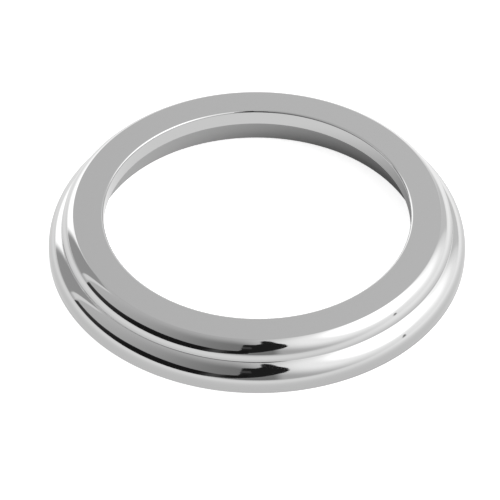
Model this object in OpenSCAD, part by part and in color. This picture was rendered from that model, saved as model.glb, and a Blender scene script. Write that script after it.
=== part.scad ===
// Spout flange: a turned, chromed ring with two convex tiers, a flat rim and a recessed underside.
// The whole ring is one turned section. It sits on its foot at z = 0, with its bore on the Z axis.

/* [Ring] */
// Diameter of the spout's column, which passes up through the ring
spout_d = 46; // [30:0.5:80]
// Gap all round between the spout's column and the bore
spout_gap = 0.1; // [0.05:0.05:0.5]
// Width of the ring, from the bore to the outside of the foot
ring_w = 8.4; // [7:0.1:14]
// Height from the foot to the flat rim
total_h = 7.3; // [6.6:0.05:7.5]

/* [Tiers] */
// Height of the straight wall at the foot
foot_h = 1.05; // [0.5:0.05:1.6]
// Radius of the lower tier's convex face
lower_r = 3.8; // [3.4:0.05:4.4]
// How far the upper tier is set in from the lower one
step_in = 2.05; // [1.6:0.05:2.6]
// Height at which the upper tier's face starts to curve in
step_h = 4.4; // [4.15:0.05:4.8]
// Radius of the upper tier's convex face
upper_r = 3.25; // [3.05:0.05:4]

/* [Lip] */
// How far the lip stands in over the recess
lip_w = 1.9; // [1.2:0.1:3.2]
// Thickness of the lip
lip_t = 2.7; // [1.5:0.1:3.5]

/* [Edges] */
// Polished round on the bore's top edge
bore_edge_r = 0.35; // [0.1:0.05:0.8]
// Polished round where the flat rim meets the upper tier
rim_edge_r = 0.15; // [0.1:0.05:0.6]
// Fillet in the crease between the tiers
crease_r = 0.2; // [0.1:0.05:0.4]
// Round on the foot's outer edge
foot_edge_r = 0.2; // [0.1:0.05:0.4]
// Round in the recess's inner corner
recess_corner_r = 0.4; // [0.2:0.1:0.8]
// Bevel on the lip's lower edge
lip_bevel = 0.2; // [0.1:0.05:0.4]
// Bevel at the mouth of the recess
mouth_bevel = 0.3; // [0.1:0.05:0.6]

/* [Hidden] */
$fn = 200;

// A round is drawn larger by this much, so that its ends cross the faces that it blends
blend = 0.0005;

bore_r = spout_d / 2 + spout_gap;
outer_r = bore_r + ring_w;
recess_r = bore_r + lip_w;
recess_h = total_h - lip_t;

// Centres of the arcs, as [radius from the axis, height]
lower_centre = [outer_r - lower_r, foot_h];
upper_centre = [outer_r - step_in - upper_r, step_h];

// The crease's fillet touches the upper tier's straight wall if that stands clear, and otherwise its arc
crease_wall_r = outer_r - step_in + crease_r;
crease_wall_h = foot_h + chord_half(lower_r + crease_r, crease_wall_r - lower_centre[0]);
crease_centre = crease_wall_h < step_h
    ? [crease_wall_r, crease_wall_h]
    : circles_cross(lower_centre, lower_r + crease_r, upper_centre, upper_r + crease_r);

rim_edge_h = total_h - rim_edge_r;
rim_edge_centre = [
    upper_centre[0] + chord_half(upper_r - rim_edge_r, rim_edge_h - step_h),
    rim_edge_h
];

// Half the width of a circle of radius r, at a height h above its centre
function chord_half(r, h) = sqrt(r * r - h * h);

// Where two circles about a and b cross, on the side away from the axis
function circles_cross(a, r_a, b, r_b) =
    let (
        apart = norm(b - a),
        towards = (b - a) / apart,
        along = (r_a * r_a - r_b * r_b + apart * apart) / (2 * apart)
    )
    a + along * towards + chord_half(r_a, along) * [towards[1], -towards[0]];

function unit(v) = v / norm(v);

// One tier as a solid section: a straight wall up to the arc's centre, then the arc
module tier(centre, r) {
    square([centre[0] + r, centre[1]]);
    square([centre[0], centre[1] + r]);
    translate(centre) circle(r);
}

// Fills the corner between the two tiers, down to a concave arc that touches both
module crease_fillet() {
    difference() {
        polygon([lower_centre, crease_centre, [upper_centre[0], min(crease_centre[1], step_h)]]);
        translate(crease_centre) circle(crease_r + blend);
    }
}

// What a convex round takes off a corner, between two directions from the round's centre
module edge_round(centre, r, from, to) {
    translate(centre) difference() {
        polygon([[0, 0], 2 * r * from, 2 * r * (from + to), 2 * r * to]);
        circle(r + blend);
    }
}

// What a bevel takes off a corner whose metal lies in the direction given by the signs in inward
module edge_bevel(corner, size, inward) {
    translate(corner) polygon([
        [-inward[0], -inward[1]] * size,
        [2 * inward[0], -inward[1]] * size,
        [-inward[0], 2 * inward[1]] * size
    ]);
}

// The outside of the ring, as if it had no bore
module stepped_outside() {
    intersection() {
        union() {
            tier(lower_centre, lower_r);
            tier(upper_centre, upper_r);
            crease_fillet();
        }
        square([outer_r, total_h]);
    }
}

// The wide recess that leaves the lip standing at the top
module recess() {
    square([recess_r - recess_corner_r, recess_h]);
    square([recess_r, recess_h - recess_corner_r]);
    translate([recess_r - recess_corner_r, recess_h - recess_corner_r]) circle(recess_corner_r);
}

// All the edges that are rounded or bevelled
module edge_cuts() {
    edge_round([bore_r + bore_edge_r, total_h - bore_edge_r], bore_edge_r, [-1, 0], [0, 1]);
    edge_round(rim_edge_centre, rim_edge_r, [0, 1], unit(rim_edge_centre - upper_centre));
    edge_round([outer_r - foot_edge_r, foot_edge_r], foot_edge_r, [1, 0], [0, -1]);
    edge_bevel([bore_r, recess_h], lip_bevel, [1, 1]);
    edge_bevel([recess_r, 0], mouth_bevel, [1, 1]);
}

module spout_flange() {
    color([0.80, 0.81, 0.83]) rotate_extrude() difference() {
        stepped_outside();
        square([bore_r, total_h]);
        recess();
        edge_cuts();
    }
}

spout_flange();
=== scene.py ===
import math

import bpy
from mathutils import Matrix, Vector
from mathutils.geometry import tessellate_polygon


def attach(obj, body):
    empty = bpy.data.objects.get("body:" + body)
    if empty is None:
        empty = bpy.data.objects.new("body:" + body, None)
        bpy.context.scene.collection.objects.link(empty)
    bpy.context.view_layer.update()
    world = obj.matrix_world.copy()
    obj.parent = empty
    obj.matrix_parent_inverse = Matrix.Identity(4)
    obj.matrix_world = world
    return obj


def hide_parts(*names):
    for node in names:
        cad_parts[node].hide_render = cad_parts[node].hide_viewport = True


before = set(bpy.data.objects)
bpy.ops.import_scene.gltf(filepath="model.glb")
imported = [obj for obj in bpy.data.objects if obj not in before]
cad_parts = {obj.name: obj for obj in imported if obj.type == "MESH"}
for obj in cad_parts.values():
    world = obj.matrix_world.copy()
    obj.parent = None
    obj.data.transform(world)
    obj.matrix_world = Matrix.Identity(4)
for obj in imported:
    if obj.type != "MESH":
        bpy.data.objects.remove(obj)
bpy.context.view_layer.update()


# Directions are given as an azimuth from the camera's side, to the right, and an elevation, in degrees
def direction(azimuth, elevation):
    a, e = math.radians(azimuth), math.radians(elevation)
    return Vector((math.sin(a) * math.cos(e), -math.cos(a) * math.cos(e), math.sin(e)))


# Camera: a long lens, from the front and above
CAMERA_ELEVATION = 42.61
CAMERA_DISTANCE = 0.5736
LENS_MM = 272.66
YAW, PITCH, ROLL = 0.00184, -0.00077, -0.00636

place = direction(0, CAMERA_ELEVATION) * CAMERA_DISTANCE
forward = -place.normalized()
right = Vector((1, 0, 0))
up = right.cross(forward)
turn = Matrix.Rotation(YAW, 3, up)
forward, right = turn @ forward, turn @ right
turn = Matrix.Rotation(PITCH, 3, right)
forward, up = turn @ forward, turn @ up
turn = Matrix.Rotation(ROLL, 3, forward)
right, up = turn @ right, turn @ up

camera_data = bpy.data.cameras.new("camera")
camera_data.lens = LENS_MM
camera_data.sensor_width = 36
camera_data.clip_start, camera_data.clip_end = 0.01, 20
camera = bpy.data.objects.new("camera", camera_data)
camera.matrix_world = Matrix.Translation(place) @ Matrix((right, up, -forward)).transposed().to_4x4()
bpy.context.scene.collection.objects.link(camera)
bpy.context.scene.camera = camera
bpy.context.scene.view_settings.view_transform = "Standard"


class Nodes:
    """A short way to write a node tree."""

    def __init__(self, tree):
        self.tree = tree
        tree.nodes.clear()

    def add(self, kind, inputs=None, **settings):
        node = self.tree.nodes.new(kind)
        for name, value in settings.items():
            setattr(node, name, value)
        for key, value in (inputs or {}).items():
            self.set(node.inputs[key], value)
        return node

    def set(self, socket, value):
        if isinstance(value, bpy.types.NodeSocket):
            self.tree.links.new(value, socket)
        else:
            socket.default_value = value

    def math(self, operation, a, b=0.0, c=0.0):
        return self.add("ShaderNodeMath", {0: a, 1: b, 2: c}, operation=operation).outputs[0]

    def smooth(self, value, start, end, low, high):
        inputs = {"Value": value, "From Min": start, "From Max": end, "To Min": low, "To Max": high}
        return self.add("ShaderNodeMapRange", inputs, interpolation_type="SMOOTHSTEP").outputs["Result"]

    def mix(self, share, a, b):
        return self.add("ShaderNodeMix", {0: share, 2: a, 3: b}, data_type="FLOAT").outputs[0]

    def near(self, ray, centre, inner, outer):
        """1 within inner degrees of a direction, and 0 beyond outer degrees."""
        inputs = {0: ray, 1: direction(*centre)}
        cosine = self.add("ShaderNodeVectorMath", inputs, operation="DOT_PRODUCT").outputs["Value"]
        angle = self.math("DEGREES", self.math("ARCCOSINE", cosine))
        return self.smooth(angle, inner, outer, 1.0, 0.0)

    def between(self, value, low, high, soft):
        """1 between low and high, with each edge drawn out over twice its part of soft."""
        rise = self.smooth(value, low - soft[0], low + soft[0], 0.0, 1.0)
        fall = self.smooth(value, high - soft[1], high + soft[1], 1.0, 0.0)
        return self.math("MULTIPLY", rise, fall)

    def angle(self, sine, cosine):
        return self.math("DEGREES", self.math("ARCTAN2", sine, cosine))


def stage_mesh(name, corners, faces, material):
    """A piece of the studio, which the camera looks past."""
    mesh = bpy.data.meshes.new(name)
    mesh.from_pydata(corners, [], faces)
    mesh.materials.append(material)
    piece = bpy.data.objects.new(name, mesh)
    piece.visible_camera = False
    bpy.context.scene.collection.objects.link(piece)
    return piece


def lit(name):
    """A new material for a light, with its node tree."""
    material = bpy.data.materials.new(name)
    material.use_nodes = True
    return material, Nodes(material.node_tree)


def shine(nodes, level):
    emission = nodes.add("ShaderNodeEmission", {"Color": (1, 1, 1, 1), "Strength": level})
    nodes.add("ShaderNodeOutputMaterial", {"Surface": emission.outputs[0]})


# Room: a dome of soft light, painted in directions from the ring. Brightness 1 is plain white
material, nodes = lit("room")
position = nodes.add("ShaderNodeTexCoord").outputs["Object"]
ray = nodes.add("ShaderNodeVectorMath", {0: position}, operation="NORMALIZE").outputs["Vector"]
x, y, z = nodes.add("ShaderNodeSeparateXYZ", {0: ray}).outputs
azimuth = nodes.angle(x, nodes.math("MULTIPLY", y, -1))
behind = nodes.angle(x, y)
elevation = nodes.math("DEGREES", nodes.math("ARCSINE", z))


def patch(level, angle, sides, soft_sides, ends, soft_ends, brightness):
    """A soft-edged sheet of light between two sides, measured by angle, and two elevations."""
    across = nodes.between(angle, *sides, soft_sides)
    mask = nodes.math("MULTIPLY", across, nodes.between(elevation, *ends, soft_ends))
    return nodes.mix(mask, level, brightness)


# Walls: grey on the left, darkest at the front, and pale on the right
left_wall = nodes.smooth(azimuth, -110, -5, 0.74, 0.28)
right_wall = nodes.smooth(azimuth, 15, 95, 0.62, 1.33)
walls = nodes.mix(nodes.smooth(azimuth, 8, 14, 0.0, 1.0), left_wall, right_wall)
back_wall = nodes.smooth(behind, -30, 10, 0.62, 0.8)
walls = nodes.mix(nodes.smooth(nodes.math("ABSOLUTE", behind), 62, 40, 0.0, 1.0), walls, back_wall)
level = nodes.mix(nodes.smooth(elevation, 45, 80, 0.0, 1.0), walls, 0.68)
# Softbox on the right, with its skirt
level = nodes.mix(nodes.near(ray, (60, 42), 20, 50), level, 1.42)
level = nodes.mix(nodes.near(ray, (104, 26), 6, 24), level, 1.8)
level = nodes.mix(nodes.near(ray, (78, 41), 16, 31), level, 2.3)
level = patch(level, azimuth, (131, 151), (2, 5), (-6, 40), (2, 5), 0.85)
# Low light behind, up to the height that the flat rim mirrors
level = patch(level, behind, (-12, 28), (8, 8), (-6, 38.5), (2, 1.5), 1.15)
# Window and panel on the left
level = patch(level, azimuth, (-169, -129), (3, 3), (-6, 45), (2, 3), 1.6)
level = nodes.mix(nodes.near(ray, (-141, 12), 5, 18), level, 1.95)
level = patch(level, azimuth, (-128.5, -105.5), (3, 0.6), (-6, 43), (2, 1.5), 0.46)
level = patch(level, azimuth, (-105.5, -101), (0.6, 1), (6, 42), (5, 4), 1.05)
shine(nodes, level)

ROOM_RADIUS = 3.0
ROOM_STEP = 4
columns, rows = 360 // ROOM_STEP, 23
corners = []
for j in range(rows + 1):
    for i in range(columns):
        corners.append(direction(i * ROOM_STEP, -3 + 92.5 * j / rows) * ROOM_RADIUS)
faces = []
for j in range(rows):
    for i in range(columns):
        k = (i + 1) % columns
        faces.append((j * columns + i, j * columns + k, (j + 1) * columns + k, (j + 1) * columns + i))
stage_mesh("room", corners, faces, material)


def mirrored_place(azimuth, elevation, distance):
    """The place at a distance from the ring's outside, in a direction that it mirrors to the camera."""
    reflected = direction(azimuth, elevation)
    facing = reflected + direction(0, CAMERA_ELEVATION)
    side = Vector((facing.x, facing.y, 0)).normalized() * 0.0285
    return side + Vector((0, 0, 0.004)) + reflected * distance


def card(name, outline, distance, level):
    """A flat-lit card whose outline is given in mirrored azimuths and elevations."""
    material, nodes = lit(name)
    shine(nodes, level)
    flat = [Vector((azimuth, elevation, 0)) for azimuth, elevation in outline]
    corners = [mirrored_place(*corner, distance) for corner in outline]
    return stage_mesh(name, corners, tessellate_polygon([flat]), material)


# Dark cloth on the table at the front left, which slopes up from near the ring
CLOTH_NEAR, CLOTH_FAR = 0.045, 0.4
cloth = [(-100, -3, 8.5), (-84, -3.5, 12), (-72, -4, 15), (-60, -4.5, 17.5), (-48, -5, 18),
         (-36, -5, 17), (-24, -4, 16), (-18, -1, 15.5), (-10, 3, 18), (-4, 8, 24)]
corners = []
for side, low, high in cloth:
    corners += [mirrored_place(side, low, CLOTH_NEAR), mirrored_place(side, high, CLOTH_FAR)]
faces = [(2 * k, 2 * k + 2, 2 * k + 3, 2 * k + 1) for k in range(len(cloth) - 1)]
material, nodes = lit("cloth")
position = nodes.add("ShaderNodeTexCoord").outputs["Object"]
x, y, z = nodes.add("ShaderNodeSeparateXYZ", {0: position}).outputs
azimuth = nodes.angle(x, nodes.math("MULTIPLY", y, -1))
level = nodes.smooth(azimuth, -100, -55, 0.08, 0.014)
level = nodes.mix(nodes.between(azimuth, -21, -15, (4, 4)), level, 0.1)
shine(nodes, level)
stage_mesh("cloth", corners, faces, material)

# Camera and its stand, as the ring mirrors them
card("camera_body", [
    (-9, 19), (-8, 26), (-8.5, 52), (0, 53), (3.5, 58), (4, 70), (8, 73), (13, 70), (15, 58),
    (18.5, 48), (18, 37), (15, 30), (9, 22.5), (3, 15.5), (-2, 11), (-9, 7), (-12, 8), (-13, 16),
], 2.6, 0.02)
card("camera_grip", [(-8.5, 31), (-8, 41), (-3, 41), (-2.5, 31)], 2.5, 0.075)
card("stand", [(74.5, -3), (77.5, -3), (77.2, 7), (76.2, 8)], 0.6, 0.25)

# Table: white, as bright as the background
FLOOR_RADIUS = 3.4


def disc(height):
    corners = [(FLOOR_RADIUS * math.cos(math.tau * k / 96), FLOOR_RADIUS * math.sin(math.tau * k / 96), height)
               for k in range(96)]
    return corners, [tuple(range(96))]


floor_mesh = bpy.data.meshes.new("table")
corners, faces = disc(-0.00004)
floor_mesh.from_pydata(corners, [], faces)
floor = bpy.data.objects.new("table", floor_mesh)
bpy.context.scene.collection.objects.link(floor)
material = bpy.data.materials.new("table")
material.use_nodes = True
nodes = Nodes(material.node_tree)
shader = nodes.add("ShaderNodeBsdfPrincipled", {
    "Base Color": (0.85, 0.85, 0.85, 1), "Roughness": 0.9, "Specular IOR Level": 0.0,
    "Emission Color": (1, 1, 1, 1), "Emission Strength": 0.75,
})
nodes.add("ShaderNodeOutputMaterial", {"Surface": shader.outputs[0]})
floor_mesh.materials.append(material)

# What the chrome mirrors of the table, in mm: its light falls off around the ring and in the ring's shadow
material, nodes = lit("table_mirrored")
position = nodes.add("ShaderNodeTexCoord").outputs["Object"]
x, y, z = nodes.add("ShaderNodeSeparateXYZ", {0: position}).outputs
x, y = nodes.math("MULTIPLY", x, 1000), nodes.math("MULTIPLY", y, 1000)
azimuth = nodes.angle(x, nodes.math("MULTIPLY", y, -1))


def distance_from(x0, y0):
    across, along = nodes.math("SUBTRACT", x, x0), nodes.math("SUBTRACT", y, y0)
    squares = nodes.math("ADD", nodes.math("MULTIPLY", across, across), nodes.math("MULTIPLY", along, along))
    return nodes.math("SQRT", squares)


away = nodes.math("SUBTRACT", distance_from(0, 0), 31.5)
near_level = nodes.smooth(away, 0, 10, 0.84, 1.1)
to_right = nodes.between(azimuth, 45, 165, (25, 15))
lift = nodes.math("MULTIPLY", to_right, nodes.smooth(away, 2, 20, 0.03, 0.24))
near_level = nodes.math("ADD", near_level, lift)
far_level = nodes.smooth(azimuth, 15, 75, 0.68, 1.28)
far_level = nodes.mix(nodes.smooth(azimuth, -105, -140, 0.0, 1.0), far_level, 1.45)
outside = nodes.mix(nodes.smooth(away, 12, 90, 0.0, 1.0), near_level, far_level)
# The ring's shadow inside it, cast away from the softbox
shift = direction(125, 0) * -8
inside = nodes.smooth(distance_from(shift.x, shift.y), 23, 34, 1.0, 0.1)
level = nodes.mix(nodes.smooth(away, -3, -1, 0.0, 1.0), inside, outside)
shine(nodes, level)
corners, faces = disc(-0.00002)
mirrored = stage_mesh("table_mirrored", corners, faces, material)
mirrored.visible_diffuse = False
mirrored.visible_shadow = False

world = bpy.data.worlds.new("room")
bpy.context.scene.world = world
world.use_nodes = True
nodes = Nodes(world.node_tree)
background = nodes.add("ShaderNodeBackground", {"Color": (1, 1, 1, 1), "Strength": 1.0})
nodes.add("ShaderNodeOutputWorld", {"Surface": background.outputs[0]})

# The turned section, in mm, with the same sizes as the CAD source
TOTAL_H, RECESS_H = 7.3, 4.6
BORE_R, RECESS_R, OUTER_R = 23.1, 25.0, 31.5
BORE_EDGE_R, RIM_EDGE_R, CREASE_R, FOOT_EDGE_R, RECESS_CORNER_R = 0.35, 0.15, 0.2, 0.2, 0.4
LIP_BEVEL, MOUTH_BEVEL = 0.2, 0.3
LOWER_R, UPPER_R = 3.8, 3.25
LOWER_CENTRE = Vector((27.7, 1.05))
UPPER_CENTRE = Vector((26.2, 4.4))

STEPS_ROUND = 384
ARC_STEP = 2.5


def angle_of(vector):
    return math.degrees(math.atan2(vector[1], vector[0]))


def circles_cross(a, radius_a, b, radius_b):
    """Where two circles cross, on the side away from the axis."""
    apart = (b - a).length
    towards = (b - a) / apart
    along = (radius_a ** 2 - radius_b ** 2 + apart ** 2) / (2 * apart)
    across = math.sqrt(radius_a ** 2 - along ** 2)
    return a + along * towards + across * Vector((towards[1], -towards[0]))


def arc(centre, radius, start, end, hollow=False):
    """Points of the section along an arc, each with the way that its surface faces."""
    count = max(4, math.ceil(abs(end - start) / ARC_STEP))
    points = []
    for k in range(count + 1):
        angle = math.radians(start + (end - start) * k / count)
        outward = Vector((math.cos(angle), math.sin(angle)))
        points.append((Vector(centre) + outward * radius, -outward if hollow else outward))
    return points


def line(start, end, count=1):
    start, end = Vector(start), Vector(end)
    along = (end - start).normalized()
    facing = Vector((-along[1], along[0]))
    return [(start.lerp(end, k / count), facing) for k in range(count + 1)]


rim_h = TOTAL_H - RIM_EDGE_R
rim_r = UPPER_CENTRE[0] + math.sqrt((UPPER_R - RIM_EDGE_R) ** 2 - (rim_h - UPPER_CENTRE[1]) ** 2)
rim_centre = Vector((rim_r, rim_h))
crease_centre = circles_cross(LOWER_CENTRE, LOWER_R + CREASE_R, UPPER_CENTRE, UPPER_R + CREASE_R)
rim_angle = angle_of(rim_centre - UPPER_CENTRE)
upper_end = angle_of(crease_centre - UPPER_CENTRE)
lower_start = angle_of(crease_centre - LOWER_CENTRE)

section = [
    line((BORE_R + BORE_EDGE_R, TOTAL_H), (rim_r, TOTAL_H), 8),
    arc(rim_centre, RIM_EDGE_R, 90, rim_angle),
    arc(UPPER_CENTRE, UPPER_R, rim_angle, upper_end),
    arc(crease_centre, CREASE_R, upper_end + 180, lower_start + 180, hollow=True),
    arc(LOWER_CENTRE, LOWER_R, lower_start, 0),
    line((OUTER_R, LOWER_CENTRE[1]), (OUTER_R, FOOT_EDGE_R), 2),
    arc((OUTER_R - FOOT_EDGE_R, FOOT_EDGE_R), FOOT_EDGE_R, 0, -90),
    line((OUTER_R - FOOT_EDGE_R, 0), (RECESS_R + MOUTH_BEVEL, 0), 4),
    line((RECESS_R + MOUTH_BEVEL, 0), (RECESS_R, MOUTH_BEVEL)),
    line((RECESS_R, MOUTH_BEVEL), (RECESS_R, RECESS_H - RECESS_CORNER_R), 4),
    arc((RECESS_R - RECESS_CORNER_R, RECESS_H - RECESS_CORNER_R), RECESS_CORNER_R, 0, 90, hollow=True),
    line((RECESS_R - RECESS_CORNER_R, RECESS_H), (BORE_R + LIP_BEVEL, RECESS_H), 3),
    line((BORE_R + LIP_BEVEL, RECESS_H), (BORE_R, RECESS_H + LIP_BEVEL)),
    line((BORE_R, RECESS_H + LIP_BEVEL), (BORE_R, TOTAL_H - BORE_EDGE_R), 3),
    arc((BORE_R + BORE_EDGE_R, TOTAL_H - BORE_EDGE_R), BORE_EDGE_R, 180, 90),
]


def turned(name, section):
    """A closed ring turned from pieces of section, each shaded by its own exact surface."""
    rows = [point for piece in section for point, facing in piece[:-1]]
    corners, faces, facings = [], [], []
    turns = [math.tau * k / STEPS_ROUND for k in range(STEPS_ROUND)]
    for point in rows:
        corners += [(point[0] * math.cos(t) / 1000, point[0] * math.sin(t) / 1000, point[1] / 1000) for t in turns]
    first = 0
    for piece in section:
        for k in range(len(piece) - 1):
            near, far = first + k, (first + k + 1) % len(rows)
            facing_near, facing_far = piece[k][1], piece[k + 1][1]
            for i in range(STEPS_ROUND):
                j = (i + 1) % STEPS_ROUND
                faces.append((near * STEPS_ROUND + i, far * STEPS_ROUND + i, far * STEPS_ROUND + j, near * STEPS_ROUND + j))
                for facing, at in ((facing_near, i), (facing_far, i), (facing_far, j), (facing_near, j)):
                    facings.append((facing[0] * math.cos(turns[at]), facing[0] * math.sin(turns[at]), facing[1]))
        first += len(piece) - 1
    mesh = bpy.data.meshes.new(name)
    mesh.from_pydata(corners, [], faces)
    mesh.shade_smooth()
    mesh.normals_split_custom_set(facings)
    piece = bpy.data.objects.new(name, mesh)
    bpy.context.scene.collection.objects.link(piece)
    return piece


ring = turned("turned_ring", section)
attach(ring, "root")
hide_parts("spout_flange")

# Chrome: mirror polish outside, duller inside the recess where the plating is thin; its colour there is also
# darker, as painted shade under the lip
material = bpy.data.materials.new("chrome")
material.use_nodes = True
nodes = Nodes(material.node_tree)
position = nodes.add("ShaderNodeTexCoord").outputs["Object"]
axes = nodes.add("ShaderNodeSeparateXYZ", {0: position})
x, y, height = (nodes.math("MULTIPLY", axes.outputs[k], 1000) for k in range(3))
radius = nodes.math("SQRT", nodes.math("ADD", nodes.math("MULTIPLY", x, x), nodes.math("MULTIPLY", y, y)))
inside = nodes.smooth(radius, 25.4, 25.3, 0.0, 1.0)
below = nodes.smooth(height, 4.75, 4.55, 0.0, 1.0)
dull_and_shaded_recess = nodes.math("MULTIPLY", inside, below)
roughness = nodes.mix(dull_and_shaded_recess, 0.05, 0.4)
# Painted shade: the chrome's colour is darker inside the recess, standing in for the shade that falls under the
# lip
shade = nodes.mix(dull_and_shaded_recess, 0.57, 0.4)
tint = nodes.add("ShaderNodeCombineColor", {0: shade, 1: shade, 2: shade})
shader = nodes.add("ShaderNodeBsdfPrincipled", {
    "Base Color": tint.outputs[0], "Metallic": 1.0, "Roughness": roughness,
})
nodes.add("ShaderNodeOutputMaterial", {"Surface": shader.outputs[0]})
ring.data.materials.append(material)
